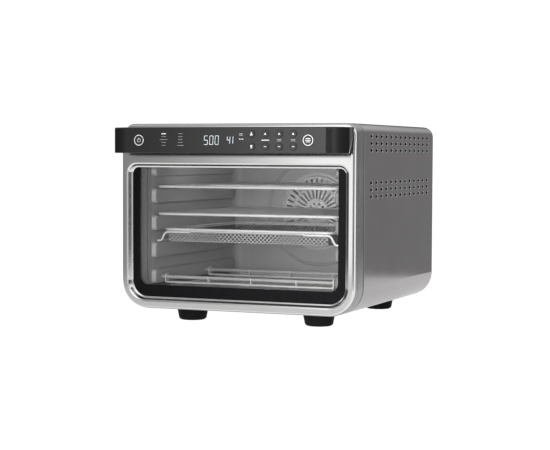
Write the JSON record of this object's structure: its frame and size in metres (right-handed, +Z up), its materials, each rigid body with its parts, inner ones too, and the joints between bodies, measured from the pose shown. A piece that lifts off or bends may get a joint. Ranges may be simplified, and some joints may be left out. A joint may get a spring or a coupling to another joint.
{
  "type": "toaster oven",
  "caption": "Countertop toaster oven with a drop-down glass door, a full-width handle bar that carries the controls, wire racks, a mesh basket and a convection fan.",
  "frame": {"origin": "on the worktop, under the middle of the overall width and depth", "axes": "+X to the right seen from the front, +Y from the door to the back, +Z up"},
  "size_m": [0.424, 0.514, 0.339],
  "materials": {
    "dark_steel": "warm dark grey brushed steel, satin",
    "brushed_steel": "bright brushed stainless steel",
    "plain_steel": "plain zinc-coated steel",
    "cavity_steel": "smooth grey coated steel",
    "bezel_metal": "dark grey satin",
    "bright_wire": "polished wire",
    "heater_rod": "oxidised heater sheath",
    "clear_glass": "clear glass",
    "black_gloss": "black gloss",
    "black_plastic": "matt black",
    "rubber_black": "black rubber",
    "gasket": "soft black seal",
    "ceramic": "off-white ceramic",
    "circuit_board": "green circuit board"
  },
  "bodies": {
    "oven_body": {"outer_wrap": "dark_steel", "base_pan": "plain_steel", "rear_panel": "dark_steel", "motor_cover": "black_plastic", "front_bezel": "bezel_metal", "door_gasket": "gasket", "cavity_left_wall": "cavity_steel", "cavity_right_wall": "cavity_steel", "cavity_top": "cavity_steel", "cavity_floor": "cavity_steel", "cavity_back_wall": "cavity_steel", "fan_grille": "cavity_steel", "fan_housing": "plain_steel", "fan_motor": "plain_steel", "lower_front_element": "heater_rod", "lower_rear_element": "heater_rod", "upper_front_element": "heater_rod", "upper_rear_element": "heater_rod", "element_supports": "bright_wire", "terminal_insulators": "ceramic", "lamp_lens": "clear_glass", "lamp_bulb": "ceramic", "temperature_sensor": "bright_wire", "power_board": "circuit_board", "wiring_harness": "gasket", "hinge_brackets": "plain_steel", "hinge_pins": "bright_wire", "cord_gland": "rubber_black", "foot_front_left": "rubber_black", "foot_front_right": "rubber_black", "foot_rear_left": "rubber_black", "foot_rear_right": "rubber_black", "body_screws": "bright_wire"},
    "door": {"door_frame": "brushed_steel", "door_outer_glass": "clear_glass", "door_inner_frame": "plain_steel", "door_inner_glass": "clear_glass", "hinge_lugs": "plain_steel", "handle_shell": "black_gloss", "handle_rear_cover": "black_plastic", "control_board": "circuit_board", "display_module": "black_gloss"},
    "power_button": {"power_button": "black_gloss"},
    "start_button": {"start_button": "black_gloss"},
    "function_button": {"function_button": "black_gloss"},
    "light_button": {"light_button": "black_gloss"},
    "temperature_down_button": {"temperature_down_button": "black_gloss"},
    "temperature_up_button": {"temperature_up_button": "black_gloss"},
    "time_down_button": {"time_down_button": "black_gloss"},
    "time_up_button": {"time_up_button": "black_gloss"},
    "preset_down_button": {"preset_down_button": "black_gloss"},
    "preset_up_button": {"preset_up_button": "black_gloss"},
    "upper_rack": {"upper_rack": "bright_wire"},
    "lower_rack": {"lower_rack": "bright_wire"},
    "basket": {"basket_frame": "bright_wire", "basket_mesh": "bright_wire"},
    "crumb_tray": {"crumb_tray": "cavity_steel"},
    "fan_rotor": {"convection_fan": "plain_steel", "motor_shaft": "bright_wire", "cooling_fan": "plain_steel"}
  },
  "joints": [
    {"name": "door_hinge", "type": "hinge", "parent": "oven_body", "child": "door", "pos_m": [0, -0.191, 0.031], "axis": [1, 0, 0], "range_deg": [0, 78]},
    {"name": "power_press", "type": "slide", "parent": "door", "child": "power_button", "axis": [0, 1, 0], "range_m": [0, 0.001], "stiffness_N_per_m": 200, "springref_m": -0.001},
    {"name": "start_press", "type": "slide", "parent": "door", "child": "start_button", "axis": [0, 1, 0], "range_m": [0, 0.001], "stiffness_N_per_m": 200, "springref_m": -0.001},
    {"name": "function_press", "type": "slide", "parent": "door", "child": "function_button", "axis": [0, 1, 0], "range_m": [0, 0.001], "stiffness_N_per_m": 200, "springref_m": -0.001},
    {"name": "light_press", "type": "slide", "parent": "door", "child": "light_button", "axis": [0, 1, 0], "range_m": [0, 0.001], "stiffness_N_per_m": 200, "springref_m": -0.001},
    {"name": "temperature_down_press", "type": "slide", "parent": "door", "child": "temperature_down_button", "axis": [0, 1, 0], "range_m": [0, 0.001], "stiffness_N_per_m": 200, "springref_m": -0.001},
    {"name": "temperature_up_press", "type": "slide", "parent": "door", "child": "temperature_up_button", "axis": [0, 1, 0], "range_m": [0, 0.001], "stiffness_N_per_m": 200, "springref_m": -0.001},
    {"name": "time_down_press", "type": "slide", "parent": "door", "child": "time_down_button", "axis": [0, 1, 0], "range_m": [0, 0.001], "stiffness_N_per_m": 200, "springref_m": -0.001},
    {"name": "time_up_press", "type": "slide", "parent": "door", "child": "time_up_button", "axis": [0, 1, 0], "range_m": [0, 0.001], "stiffness_N_per_m": 200, "springref_m": -0.001},
    {"name": "preset_down_press", "type": "slide", "parent": "door", "child": "preset_down_button", "axis": [0, 1, 0], "range_m": [0, 0.001], "stiffness_N_per_m": 200, "springref_m": -0.001},
    {"name": "preset_up_press", "type": "slide", "parent": "door", "child": "preset_up_button", "axis": [0, 1, 0], "range_m": [0, 0.001], "stiffness_N_per_m": 200, "springref_m": -0.001},
    {"name": "upper_rack_slide", "type": "slide", "parent": "oven_body", "child": "upper_rack", "axis": [0, -1, 0], "range_m": [0, 0.17]},
    {"name": "lower_rack_slide", "type": "slide", "parent": "oven_body", "child": "lower_rack", "axis": [0, -1, 0], "range_m": [0, 0.17]},
    {"name": "basket_slide", "type": "slide", "parent": "oven_body", "child": "basket", "axis": [0, -1, 0], "range_m": [0, 0.17]},
    {"name": "crumb_tray_slide", "type": "slide", "parent": "oven_body", "child": "crumb_tray", "axis": [0, -1, 0], "range_m": [0, 0.042]},
    {"name": "fan_spin", "type": "hinge", "parent": "oven_body", "child": "fan_rotor", "pos_m": [0, 0.19, 0.18], "axis": [0, 1, 0], "continuous": true}
  ],
  "couplings": [
    {"joint": "upper_rack_slide", "follows": "door_hinge", "m_per_rad": 0.124},
    {"joint": "lower_rack_slide", "follows": "door_hinge", "m_per_rad": 0.124},
    {"joint": "basket_slide", "follows": "door_hinge", "m_per_rad": 0.124},
    {"joint": "crumb_tray_slide", "follows": "door_hinge", "m_per_rad": 0.03}
  ]
}
